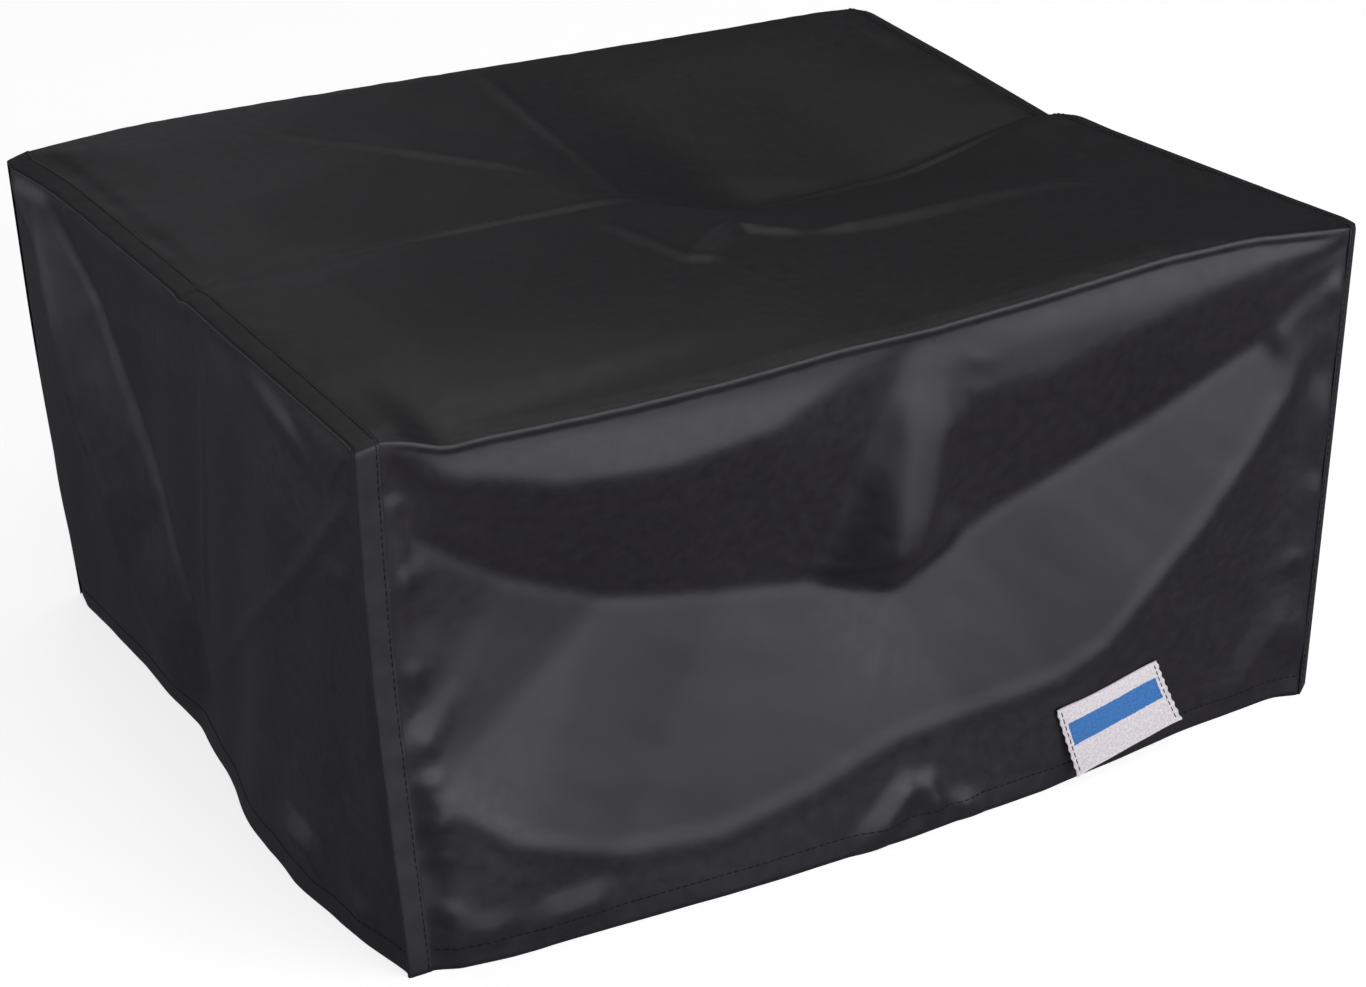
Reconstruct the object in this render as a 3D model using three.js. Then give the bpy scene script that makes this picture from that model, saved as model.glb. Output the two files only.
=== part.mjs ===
// A fabric dust cover for a desktop printer: a five-sided box of coated nylon, open at the bottom.
// Units are millimetres. +X is the right side, -Y the front and +Z up. The hem stands at Z 0, and the
// Z axis runs up the middle of the cover.

import * as THREE from 'three';

// Driving dimensions.
const WIDTH = 457; // left to right, at the top
const DEPTH = 394; // front to back, at the top
const HEIGHT = 224; // hem to the outside of the top
const LEAN = 0.027; // share by which the hem's outline is smaller than the top's
const CLOTH = 1.5; // one layer of fabric
const GAP = 0.3; // clearance between neighbouring pieces
const STRIP_WIDTH = 9.5; // flat strip along each gusset seam
const HEM_HEIGHT = 11; // fabric turned up inside the bottom edge
const HEM_STITCH_HEIGHT = 9; // the hem's stitch line, above the bottom edge
const THREAD_WIDTH = 0.8;
const THREAD_THICKNESS = 0.3;
const LABEL_WIDTH = 60;
const LABEL_HEIGHT = 36;
const LABEL_THICKNESS = 0.3;
const LABEL_X = 113; // the label's middle, right of the cover's middle
const LABEL_Z = 25; // the label's middle, above the bottom edge
const LABEL_TURN = THREE.MathUtils.degToRad(11); // it is sewn on a little askew
const LABEL_END_MARGIN = 2; // from the label's end to its stitch line

const HALF_WIDTH = WIDTH / 2;
const HALF_DEPTH = DEPTH / 2;
const LAYER_STEP = CLOTH + GAP; // from one layer of fabric to the next one in
const PANEL_INSET = LAYER_STEP; // the panels lie one layer inside the strips that cover their seams

const panelNylon = { color: 0x3a393e, roughness: 0.42, metalness: 0 };
const stripNylon = { color: 0x434247, roughness: 0.5, metalness: 0 };
const blackThread = { color: 0x1c1c1f, roughness: 0.7, metalness: 0 };
const wovenLabel = { color: 0xe2dadd, roughness: 0.8, metalness: 0 };

const cover = new THREE.Group();

// The cover narrows evenly from the top down to the hem, so every piece leans in with it.
function leanIn(geometry) {
  const position = geometry.attributes.position;
  for (let i = 0; i < position.count; i += 1) {
    const belowTop = 1 - position.getZ(i) / HEIGHT;
    const share = 1 - LEAN * belowTop;
    position.setX(i, position.getX(i) * share);
    position.setY(i, position.getY(i) * share);
  }
  position.needsUpdate = true;
  geometry.computeVertexNormals();
  return geometry;
}

function addPiece(name, geometry, finish) {
  const mesh = new THREE.Mesh(leanIn(geometry), new THREE.MeshStandardMaterial(finish));
  mesh.name = name;
  cover.add(mesh);
}

// A flat piece between two corners, given as spans along X, Y and Z.
function addSlab(name, finish, [x0, x1], [y0, y1], [z0, z1]) {
  const geometry = new THREE.BoxGeometry(x1 - x0, y1 - y0, z1 - z0);
  geometry.translate((x0 + x1) / 2, (y0 + y1) / 2, (z0 + z1) / 2);
  addPiece(name, geometry, finish);
}

// The same span on the other side of the middle, lowest value first.
function mirrored([low, high]) {
  return [-high, -low];
}

// A span that reaches equally far to both sides of the middle.
function acrossMiddle(reach) {
  return [-reach, reach];
}

// Four standing layers of fabric that close a rectangle. The front and back run the full width, and the
// left and right fit between them.
function addRing(names, finish, inset, [z0, z1]) {
  const outerX = HALF_WIDTH - inset;
  const outerY = HALF_DEPTH - inset;
  const rightSpan = [outerX - CLOTH, outerX];
  const backSpan = [outerY - CLOTH, outerY];
  const betweenFrontAndBack = acrossMiddle(outerY - LAYER_STEP);
  addSlab(names.front, finish, acrossMiddle(outerX), mirrored(backSpan), [z0, z1]);
  addSlab(names.back, finish, acrossMiddle(outerX), backSpan, [z0, z1]);
  addSlab(names.left, finish, mirrored(rightSpan), betweenFrontAndBack, [z0, z1]);
  addSlab(names.right, finish, rightSpan, betweenFrontAndBack, [z0, z1]);
}

// The walls: the front and back of the wrap, and the two gussets.
function addWalls() {
  const names = { front: 'front_panel', back: 'back_panel', left: 'left_gusset', right: 'right_gusset' };
  addRing(names, panelNylon, PANEL_INSET, [0, HEIGHT - PANEL_INSET]);
}

// The top of the wrap lies inside the walls' upper edges.
function addTop() {
  const reachX = HALF_WIDTH - PANEL_INSET - LAYER_STEP;
  const reachY = HALF_DEPTH - PANEL_INSET - LAYER_STEP;
  const outside = HEIGHT - PANEL_INSET;
  addSlab('top_panel', panelNylon, acrossMiddle(reachX), acrossMiddle(reachY), [outside - CLOTH, outside]);
}

// The layer of fabric that is turned up inside the bottom edge of each wall.
function addHems() {
  const names = { front: 'front_hem', back: 'back_hem', left: 'left_hem', right: 'right_hem' };
  addRing(names, panelNylon, PANEL_INSET + LAYER_STEP, [0, HEM_HEIGHT]);
}

// Along each gusset, a flat strip runs down the front, over the top and down the back of the wrap, with a
// stitch line beside its inner edge.
function addSeamStrips() {
  const stripX = [HALF_WIDTH - STRIP_WIDTH, HALF_WIDTH];
  const threadX = [stripX[0] - GAP - THREAD_WIDTH, stripX[0] - GAP];
  const stripY = [HALF_DEPTH - CLOTH, HALF_DEPTH];
  const threadOutside = PANEL_INSET - GAP - THREAD_THICKNESS;
  const threadY = [HALF_DEPTH - threadOutside - THREAD_THICKNESS, HALF_DEPTH - threadOutside];
  const overTop = acrossMiddle(HALF_DEPTH - LAYER_STEP);
  const standing = [0, HEIGHT];
  const standingThread = [0, HEIGHT - PANEL_INSET];
  const topZ = [HEIGHT - CLOTH, HEIGHT];
  const topThreadZ = [HEIGHT - threadOutside - THREAD_THICKNESS, HEIGHT - threadOutside];
  for (const [side, place] of [['left', mirrored], ['right', (span) => span]]) {
    addSlab(`${side}_front_strip`, stripNylon, place(stripX), mirrored(stripY), standing);
    addSlab(`${side}_front_strip_thread`, blackThread, place(threadX), mirrored(threadY), standingThread);
    addSlab(`${side}_back_strip`, stripNylon, place(stripX), stripY, standing);
    addSlab(`${side}_back_strip_thread`, blackThread, place(threadX), threadY, standingThread);
    addSlab(`${side}_top_strip`, stripNylon, place(stripX), overTop, topZ);
    addSlab(`${side}_top_strip_thread`, blackThread, place(threadX), overTop, topThreadZ);
  }
}

// The stitch line that holds each hem, on the outside of its wall.
function addHemThreads() {
  const lineZ = [HEM_STITCH_HEIGHT, HEM_STITCH_HEIGHT + THREAD_WIDTH];
  const outside = PANEL_INSET - GAP - THREAD_THICKNESS;
  const rightX = [HALF_WIDTH - outside - THREAD_THICKNESS, HALF_WIDTH - outside];
  const backY = [HALF_DEPTH - outside - THREAD_THICKNESS, HALF_DEPTH - outside];
  const betweenStrips = acrossMiddle(HALF_WIDTH - STRIP_WIDTH - THREAD_WIDTH - 2 * GAP);
  const alongGusset = acrossMiddle(HALF_DEPTH - LAYER_STEP);
  addSlab('front_hem_thread', blackThread, betweenStrips, mirrored(backY), lineZ);
  addSlab('back_hem_thread', blackThread, betweenStrips, backY, lineZ);
  addSlab('left_hem_thread', blackThread, mirrored(rightX), alongGusset, lineZ);
  addSlab('right_hem_thread', blackThread, rightX, alongGusset, lineZ);
}

// A flat piece on the front, given in the label's own directions before the label is turned into place.
function addOnLabel(name, finish, [x0, x1], height, inset, thickness) {
  const geometry = new THREE.BoxGeometry(x1 - x0, thickness, height);
  geometry.translate((x0 + x1) / 2, 0, 0);
  geometry.rotateY(-LABEL_TURN);
  geometry.translate(LABEL_X, inset + thickness / 2 - HALF_DEPTH, LABEL_Z);
  addPiece(name, geometry, finish);
}

// The woven label lies over the front hem's stitch line, and is sewn down at both ends.
function addLabel() {
  const halfLabel = LABEL_WIDTH / 2;
  const threadHeight = LABEL_HEIGHT - 2 * LABEL_END_MARGIN;
  const threadSpan = [halfLabel - LABEL_END_MARGIN - THREAD_WIDTH, halfLabel - LABEL_END_MARGIN];
  const labelInset = THREAD_THICKNESS + GAP;
  addOnLabel('label', wovenLabel, acrossMiddle(halfLabel), LABEL_HEIGHT, labelInset, LABEL_THICKNESS);
  addOnLabel('label_left_thread', blackThread, mirrored(threadSpan), threadHeight, 0, THREAD_THICKNESS);
  addOnLabel('label_right_thread', blackThread, threadSpan, threadHeight, 0, THREAD_THICKNESS);
}

addWalls();
addTop();
addHems();
addSeamStrips();
addHemThreads();
addLabel();

export default cover;
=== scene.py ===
import math
import random
from functools import partial

import bpy
import numpy as np
from mathutils import Matrix, Vector
from mathutils.geometry import delaunay_2d_cdt


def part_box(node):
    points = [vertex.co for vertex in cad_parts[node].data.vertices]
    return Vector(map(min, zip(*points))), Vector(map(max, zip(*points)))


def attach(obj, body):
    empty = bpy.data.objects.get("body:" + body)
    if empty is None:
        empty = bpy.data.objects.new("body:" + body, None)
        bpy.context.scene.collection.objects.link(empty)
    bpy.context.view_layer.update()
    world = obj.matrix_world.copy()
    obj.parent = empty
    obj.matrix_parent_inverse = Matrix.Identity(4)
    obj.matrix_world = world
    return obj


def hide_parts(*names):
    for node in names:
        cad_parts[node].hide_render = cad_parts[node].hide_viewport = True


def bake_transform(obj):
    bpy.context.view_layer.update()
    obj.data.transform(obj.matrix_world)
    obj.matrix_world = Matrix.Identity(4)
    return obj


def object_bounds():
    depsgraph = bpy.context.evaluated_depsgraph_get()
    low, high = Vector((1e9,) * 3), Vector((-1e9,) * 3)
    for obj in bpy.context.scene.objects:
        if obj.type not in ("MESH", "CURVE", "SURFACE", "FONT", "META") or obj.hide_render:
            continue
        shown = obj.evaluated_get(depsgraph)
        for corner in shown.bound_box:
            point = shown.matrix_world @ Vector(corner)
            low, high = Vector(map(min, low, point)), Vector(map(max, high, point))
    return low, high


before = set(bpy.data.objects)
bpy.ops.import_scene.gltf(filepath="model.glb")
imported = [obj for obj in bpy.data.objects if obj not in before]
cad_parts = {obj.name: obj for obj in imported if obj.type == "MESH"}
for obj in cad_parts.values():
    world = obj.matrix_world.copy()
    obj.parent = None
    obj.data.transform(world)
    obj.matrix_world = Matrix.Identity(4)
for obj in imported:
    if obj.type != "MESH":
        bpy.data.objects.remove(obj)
CAD_LOW, CAD_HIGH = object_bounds()

# ---- sizes, in metres

MM = 0.001
WIDTH = CAD_HIGH.x - CAD_LOW.x
DEPTH = CAD_HIGH.y - CAD_LOW.y
HEIGHT = CAD_HIGH.z - CAD_LOW.z
HALF_WIDTH = WIDTH / 2
HALF_DEPTH = DEPTH / 2
LEAN = 0.027  # share by which the hem's outline is smaller than the top's, as in the frame
FOLD_RADIUS = 2.5 * MM  # the wrap's pressed folds along the top front and top back edges
STRIP_WIDTH = 9.5 * MM
CLOTH = 0.5 * MM  # thickness of the panels and hems
TAPE = 0.3 * MM  # thickness of the strips
LABEL_CLOTH = 0.4 * MM
GRID = 2.2 * MM  # spacing of the sheets' points
CREASE_GRID = 1.1 * MM  # and across the crease over the top
CREASE_IN_FRONT = 24 * MM  # how far that crease wanders from the middle of the top
CREASE_BEHIND = 30 * MM
FOLD_GRID = 0.8 * MM  # and beside the pressed folds
FOLD_SIDE = 9 * MM  # width of the band beside a fold that bends with it
BACK_GRID = 1.4 * GRID  # the plain back needs fewer points
HEM_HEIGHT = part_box("front_hem")[1].z
HEM_STITCH = (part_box("front_hem_thread")[0].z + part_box("front_hem_thread")[1].z) / 2
SKIRT, CROWN = "skirt", "crown"
SIDES = (("left", -1), ("right", 1))  # each side's name and the sign of its X


# ---- curves

def fade(value, start, end):
    """0 before start, 1 after end, smooth between."""
    share = np.clip((value - start) / (end - start), 0, 1)
    return share * share * (3 - 2 * share)


def bell(distance, reach):
    """1 at no distance, and about a third at the reach."""
    return np.exp(-(distance / reach) ** 2)


def bell_weights(sigma):
    """The weights of a bell curve over whole grid steps. They add up to one."""
    reach = max(1, int(3 * sigma))
    offsets = np.arange(-reach, reach + 1)
    weights = np.exp(-0.5 * (offsets / sigma) ** 2)
    return weights / weights.sum()


# ---- reliefs

HALF_WIDTH_MM, HALF_DEPTH_MM, HEIGHT_MM = (v / MM for v in (HALF_WIDTH, HALF_DEPTH, HEIGHT))
CREASE_ROUNDING = 0.8  # radius of a crease's ridge, in millimetres


class Relief:
    """How far a panel stands out of its plane. Fold lines, points of (across, up, out) in millimetres, are
    joined by flat facets, as creased cloth is, and then softened. The panel's edges stay in its plane,
    apart from the lower one where open_below is true."""

    STEP = 1.0  # spacing of the grid, in millimetres

    def __init__(self, low, high, folds, softness, open_below=False):
        self.low, self.high = np.array(low, float), np.array(high, float)
        points, edges, heights = [], [], []

        def add_line(line, closed=False):
            first = len(points)
            for across, up, out in line:
                points.append(Vector((across, up)))
                heights.append(out)
            last = len(points) - 1
            edges.extend((i, i + 1) for i in range(first, last))
            if closed:
                edges.append((last, first))

        (x0, y0), (x1, y1) = low, high
        add_line([(x0, y0, 0), (x1, y0, 0), (x1, y1, 0), (x0, y1, 0)], closed=not open_below)
        for line in folds:
            add_line(line)
        made = delaunay_2d_cdt(points, edges, [], 0, 1e-4, True)
        corners, triangles, came_from = made[0], made[2], made[3]
        level = [heights[ids[0]] if ids else 0.0 for ids in came_from]
        self.cells = tuple(int(round((end - start) / self.STEP)) + 1 for start, end in zip(low, high))
        facets = self._facets(corners, triangles, level)
        self.grid = self._soften(facets, softness / self.STEP, open_below)

    def _facets(self, corners, triangles, level):
        """The height of the flat triangles over the grid."""
        across = np.linspace(self.low[0], self.high[0], self.cells[0])
        up = np.linspace(self.low[1], self.high[1], self.cells[1])
        a, b = np.meshgrid(across, up, indexing="ij")
        grid = np.zeros(self.cells)
        for p, q, r in triangles:
            (px, py), (qx, qy), (rx, ry) = corners[p], corners[q], corners[r]
            area = (qx - px) * (ry - py) - (rx - px) * (qy - py)
            if abs(area) < 1e-9:
                continue
            share_q = ((a - px) * (ry - py) - (rx - px) * (b - py)) / area
            share_r = ((qx - px) * (b - py) - (a - px) * (qy - py)) / area
            inside = (share_q >= -1e-6) & (share_r >= -1e-6) & (share_q + share_r <= 1 + 1e-6)
            flat = level[p] + share_q * (level[q] - level[p]) + share_r * (level[r] - level[p])
            grid[inside] = flat[inside]
        return grid

    @staticmethod
    def _soften(facets, sigma, open_below):
        """The heights, blurred. Past an edge that stays in its plane, they go on upside down."""
        weights = bell_weights(sigma)
        reach = len(weights) // 2
        wide = np.pad(facets, ((reach, reach), (0, 0)), mode="reflect", reflect_type="odd")
        if open_below:
            wide = np.pad(wide, ((0, 0), (reach, 0)), mode="edge")
            wide = np.pad(wide, ((0, 0), (0, reach)), mode="reflect", reflect_type="odd")
        else:
            wide = np.pad(wide, ((0, 0), (reach, reach)), mode="reflect", reflect_type="odd")
        for axis in (0, 1):
            wide = np.apply_along_axis(np.convolve, axis, wide, weights, mode="valid")
        return wide

    def __call__(self, across, up):
        """The height in metres at places given in metres."""
        cells = np.array(self.cells)
        place = np.stack([across / MM, up / MM], axis=-1)
        at = (place - self.low) / (self.high - self.low) * (cells - 1)
        at = np.clip(at, 0, cells - 1.000001)
        i, j = at[..., 0].astype(int), at[..., 1].astype(int)
        s, t = at[..., 0] - i, at[..., 1] - j
        grid = self.grid
        lower = grid[i, j] * (1 - s) + grid[i + 1, j] * s
        upper = grid[i, j + 1] * (1 - s) + grid[i + 1, j + 1] * s
        return (lower * (1 - t) + upper * t) * MM


def crease_lines(across, up, creases):
    """The height, in metres, of sharp creases at places given in metres. Each crease is a width and a line
    of points (across, up, out) in millimetres. In cross-section it is a tent with a rounded ridge."""
    a, b = across / MM, up / MM
    total = np.zeros(a.shape)
    for width, line in creases:
        nearest = np.full(a.shape, np.inf)
        height = np.zeros(a.shape)
        for (a0, b0, out0), (a1, b1, out1) in zip(line, line[1:]):
            along_a, along_b = a1 - a0, b1 - b0
            share = ((a - a0) * along_a + (b - b0) * along_b) / (along_a ** 2 + along_b ** 2)
            share = np.clip(share, 0, 1)
            distance = np.hypot(a - a0 - share * along_a, b - b0 - share * along_b)
            closer = distance < nearest
            nearest = np.where(closer, distance, nearest)
            height = np.where(closer, out0 + share * (out1 - out0), height)
        rounded = np.hypot(nearest, CREASE_ROUNDING)
        total += height * np.maximum(0, 1 - rounded / width)
    return total * MM


# Fold lines of the front: across is X, up is Z.
FRONT_LOW, FRONT_HIGH = (-HALF_WIDTH_MM, 0), (HALF_WIDTH_MM, HEIGHT_MM)
FRONT_SWAGS = [
    # roll under the top edge, from the left corner to the pinch
    [(-212, 212, 0), (-184, 205, 3), (-152, 196, 5), (-110, 193, 5.5), (-66, 197, 4.5), (-30, 209, 1),
     (3, 221, 0)],
    # valley of the big swag, which the pinch ends in
    [(-220, 206, -0.5), (-206, 180, -4.5), (-170, 154, -9), (-128, 135, -12), (-75, 125, -13),
     (-34, 119, -12), (2, 107, -9), (36, 124, -10), (60, 134, -10), (122, 153, -9), (183, 179, -5),
     (219, 212, -1)],
    # the pinch: a narrow facet that stays out while the swag falls away on both sides of it
    [(2, 216, -0.5), (-5, 204, -1), (-15, 176, -2.5), (-26, 142, -7)],
    [(8, 219, 0), (5, 206, 1.5), (0, 176, 7), (-6, 140, 12.5), (-8, 128, 13)],
    [(19, 220, 0), (19, 206, 1.5), (15, 177, 7), (7, 140, 12), (2, 126, 12)],
    [(31, 184, 2), (29, 162, -4), (22, 142, -8)],
    # lower ridge: a hanging curve from the left seam up to the top right
    [(-222, 92, 1), (-212, 74, 3.5), (-181, 48, 10), (-138, 31, 10), (-93, 26, 11), (-46, 34, 11),
     (-7, 46, 10), (27, 47, 9), (78, 50, 8), (104, 60, 8), (128, 81, 7), (153, 104, 6), (177, 131, 4),
     (194, 154, 2), (196, 168, 1), (184, 181, -3)],
    # ridge out of the top right corner
    [(222, 220, 0), (169, 208, 3), (119, 199, 4), (69, 190, 4), (34, 190, 3)],
    # shallow valley beside the right seam
    [(214, 178, -1), (202, 140, -3), (194, 90, -3.5), (190, 55, -3), (182, 26, -2), (172, 4, -2)],
    # the hem bows out on the left
    [(-228, 0, 0), (-186, 0, 8), (-93, 0, 14), (0, 0, 15), (71, 0, 11), (157, 0, 0), (205, 0, -4),
     (228, 0, 0)],
]
FRONT_CREASES = [  # each a width and a line
    # along the lower ridge, and along the valley of the big swag
    (7, [(-222, 90, 0), (-212, 74, 0.4), (-181, 48, 0.8), (-138, 31, 0.8), (-93, 26, 0.7), (-46, 34, 0.6),
         (-7, 46, 0.6), (27, 47, 0.6), (78, 50, 0.7), (104, 60, 0.9), (128, 81, 1), (153, 104, 1.1),
         (177, 131, 1.1), (194, 154, 1), (196, 168, 0.6), (184, 181, 0)]),
    (6, [(-222, 217, 0), (-206, 180, -0.8), (-170, 154, -0.8), (-128, 135, -0.6), (-75, 125, -0.5),
         (-34, 119, -0.5), (2, 108, -0.8), (36, 124, -0.5), (60, 134, -0.5), (122, 153, -0.6),
         (183, 179, -0.6), (219, 212, 0)]),
    # fans out of the top right corner
    (5, [(225, 220, 0), (203, 214, 0.9), (166, 211, 0)]),
    (5, [(225, 217, 0), (205, 205, 1), (186, 195, 0)]),
    (4, [(222, 210, 0), (211, 196, 0.8), (204, 184, 0)]),
    # small creases that fan out of the pinch
    (4, [(22, 212, 0), (33, 204, 0.5), (48, 200, 0)]),
    (4, [(20, 198, 0), (31, 191, 0.5), (44, 189, 0)]),
    (4, [(-12, 126, 0), (-26, 124, 0.8), (-50, 129, 0)]),
    (4, [(-8, 124, 0), (-12, 116, 0.7), (-20, 112, 0)]),
    # from the pinch's lower end down to the lower ridge
    (7, [(-2, 96, 0), (-10, 74, 0.4), (-6, 56, 0)]),
    # gathers beside the left seam
    (9, [(-220, 87, 0), (-211, 96, 3), (-194, 117, 0)]),
    (7, [(-220, 156, 0), (-212, 164, 2), (-200, 168, 0)]),
    (7, [(-220, 120, 0), (-213, 124, 1.6), (-205, 126, 0)]),
    (5, [(-220, 76, 0), (-212, 80, 1.5), (-202, 80, 0)]),
    (5, [(-220, 62, 0), (-212, 63, 1.5), (-203, 66, 0)]),
    (5, [(-220, 48, 0), (-213, 47, 1.5), (-205, 50, 0)]),
    (5, [(-220, 190, 0), (-214, 196, 1.4), (-208, 192, 0)]),
    (6, [(-220, 24, 0), (-213, 26, 1.5), (-203, 22, 0)]),
    (9, [(-212, 20, 0), (-196, 14, 2), (-176, 20, 0)]),
    # small lit folds at the hem
    (11, [(-184, 6, 0), (-168, 13, 3), (-150, 14, 2.5), (-140, 6, 0)]),
    (10, [(-30, 0, 0), (-14, 10, 4), (-2, 22, 4), (4, 30, 0)]),
    (8, [(12, 0, 0), (13, 12, 4), (9, 22, 3), (4, 28, 0)]),
    (8, [(20, 14, 0), (29, 7, 3), (40, 0, 0)]),
    # a fold that curls up from the hem to the right seam
    (12, [(166, 4, 0), (186, 14, 2), (204, 40, 2.5), (214, 66, 0)]),
    (7, [(196, 64, 0), (208, 70, 1.5), (218, 66, 0)]),
]

# Fold lines of the back, which hangs more plainly: across is X, up is Z, and out is +Y.
BACK_SWAGS = [
    [(-206, 196, -1), (-130, 160, -4), (-20, 142, -6), (90, 158, -5), (202, 204, -1)],
    [(-216, 104, 1), (-120, 62, 5), (-10, 50, 6), (110, 70, 5), (214, 118, 1)],
    [(-228, 0, 0), (-90, 0, 5), (60, 0, 5), (228, 0, 0)],
]

# Fold lines of the top: across is X, up is Y, and out is +Z.
TOP_LOW, TOP_HIGH = (-HALF_WIDTH_MM, -HALF_DEPTH_MM), (HALF_WIDTH_MM, HALF_DEPTH_MM)
TOP_SWAGS = [
    # the pressed crease from side to side
    [(-228, -17, 0), (-190, -12, 0.5), (-112, -4, 0), (-24, 1, -2), (20, 4, -2), (122, 11, -1),
     (228, 21, 0)],
    # the left half stands a little domed in front of the crease and behind it
    [(-186, 150, 5), (-176, 60, 6), (-178, 10, 4)],
    [(-176, -40, 5.5), (-172, -110, 5.5), (-186, -172, 4)],
    [(-100, -50, 2), (-60, -110, 2), (-60, -160, 1)],
    # ridge down the middle of the back half
    [(3, 194, 0), (-2, 135, 2), (-8, 70, 2), (-13, 22, -1)],
    # soft ridge in the left back quarter
    [(-150, 192, 0), (-118, 140, 3), (-82, 96, 4), (-50, 58, 3), (-34, 34, 1)],
    [(-80, 184, 0), (-50, 130, 0), (-28, 90, 0.5)],
    # ridge in front of the sag of the right half
    [(-28, -84, 1), (2, -62, 3), (18, -77, 2.5), (44, -85, 3), (80, -85, 3), (123, -81, 2.5),
     (154, -81, 1.5), (184, -92, 0)],
]
TOP_CREASES = [  # each a width and a line
    # the pressed crease from side to side
    (5, [(-228, -17, 0.6), (-190, -12, 1.3), (-112, -4, 1.5), (-24, 1, 1.6), (20, 4, 1.6), (122, 11, 1.6),
         (200, 17, 1.6), (228, 21, 0.8)]),
    # the two that run back from its middle
    (6, [(3, 194, 0), (-2, 135, 1.8), (-8, 70, 1.9), (-13, 22, 1.7), (-18, 4, 0)]),
    (6, [(-150, 188, 0), (-118, 140, 1.8), (-82, 96, 1.9), (-50, 58, 1.3), (-38, 40, 0)]),
    # in front of the sag of the right half
    (6, [(-42, -20, 0), (-39, -53, 1.8), (-34, -86, 1.4), (-20, -94, 0)]),
    (8, [(-34, -93, 0), (-22, -82, 2), (2, -62, 3.2), (18, -77, 2.4), (30, -72, 0)]),
    (8, [(14, -80, 0), (44, -85, 2.8), (80, -85, 2.7), (123, -81, 2.5), (154, -81, 1.8), (184, -92, 0)]),
    # short ones beside the side edges
    (6, [(206, 190, 0), (212, 150, 0.8), (208, 110, 0)]),
    (6, [(206, -60, 0), (213, -110, 0.8), (206, -150, 0)]),
    (5, [(-226, -40, 0), (-212, -78, 0.7), (-216, -120, 0)]),
]

# Fold lines of the left gusset: across is Y, up is Z, and out is -X.
GUSSET_LOW, GUSSET_HIGH = (-HALF_DEPTH_MM, 0), (HALF_DEPTH_MM, HEIGHT_MM)
LEFT_SWAGS = [
    # ridge and valley of the fold that drops from the top back corner
    [(176, 222, 0), (160, 188, 4), (148, 157, 6), (136, 115, 7), (118, 84, 6), (104, 50, 3), (92, 0, -3)],
    [(152, 222, 0), (109, 181, -4), (84, 142, -6), (59, 104, -7), (38, 70, -7), (22, 28, -6)],
    # crease from the middle of the top edge
    [(-30, 222, 0), (-22, 181, -1), (-6, 130, -3), (12, 85, -4.5), (22, 32, -5)],
    # crease from the front edge down to the same point
    [(-194, 200, 0), (-177, 188, 1), (-117, 137, 4), (-53, 89, 3), (18, 30, -4)],
    # the hem bulges out in front of that point and draws in behind it
    [(-194, 0, 0), (-174, 0, 3), (-148, 0, 9), (-110, 0, 13), (-80, 0, 13), (-40, 0, 7), (-7, 0, 2),
     (40, 0, -2), (110, 0, -3), (160, 0, -1), (194, 0, 0)],
    # the bulge fades out above the hem
    [(-160, 40, 4), (-110, 52, 6), (-60, 50, 4)],
]
LEFT_CREASES = [  # each a width and a line
    # along the four folds of the swags, from the back to the front
    (7, [(150, 222, 0), (109, 181, -1.4), (84, 142, -1.6), (59, 104, -1.6), (38, 66, -1.4), (24, 30, 0)]),
    (7, [(166, 218, 0), (158, 188, 1.2), (148, 157, 1.4), (136, 115, 1.2), (118, 84, 0)]),
    (6, [(-30, 222, 0), (-24, 181, 1.3), (-6, 130, 1.4), (12, 85, 1.2), (22, 38, 0)]),
    (6, [(-190, 200, 0), (-177, 188, 0.8), (-117, 137, 1.1), (-53, 89, 1.1), (10, 36, 0)]),
    # gathers below the top edge, at the hem and beside the front seam
    (8, [(-72, 216, 0), (-100, 212, 1.8), (-128, 207, 2.2), (-160, 194, 0)]),
    (12, [(-84, 10, 0), (-104, 22, 3), (-122, 22, 3), (-140, 6, 0)]),
    (9, [(-150, 20, 0), (-164, 12, 2), (-180, 16, 0)]),
    (6, [(-188, 170, 0), (-176, 160, 1), (-160, 162, 0)]),
    (6, [(-188, 92, 0), (-174, 84, 1), (-160, 86, 0)]),
]

front_swags = Relief(FRONT_LOW, FRONT_HIGH, FRONT_SWAGS, softness=2.8, open_below=True)
back_swags = Relief(FRONT_LOW, FRONT_HIGH, BACK_SWAGS, softness=5, open_below=True)
top_swags = Relief(TOP_LOW, TOP_HIGH, TOP_SWAGS, softness=3.5)
left_swags = Relief(GUSSET_LOW, GUSSET_HIGH, LEFT_SWAGS, softness=2.4, open_below=True)


# ---- the cover's surface

def lean_in(points):
    """The cover narrows evenly from the top down to the hem."""
    share = 1 - LEAN * (1 - points[..., 2] / HEIGHT)
    leant = points.copy()
    leant[..., 0] *= share
    leant[..., 1] *= share
    return leant


# How far the cover's upper edges stand above their straight lines: points of (place along the edge,
# height), in millimetres. The places are X along the folds, and Y along the side edges.
FRONT_FOLD_BEND = [(-228, 0), (-212, -1.5), (-193, -8), (-182, -6.5), (-155, -6), (-118, -5), (-75, -3.5),
                   (-30, -1), (10, -1), (65, 2), (125, 6.5), (168, 6.5), (200, 3), (228, 0)]
BACK_FOLD_BEND = [(-228, 0), (-200, 3), (-165, 5), (-110, 5), (0, 4), (120, 3), (200, 2), (228, 0)]
RIGHT_EDGE_BEND = [(-197, 0), (-90, -3), (-20, -5), (6, -5), (14, -7), (20, -11), (28, -10), (110, -4),
                   (197, 1)]
LEFT_EDGE_BEND = [(-197, 0), (-60, 1), (-22, 2), (-14, -1), (-8, 1.5), (60, 1), (197, 0)]

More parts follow.
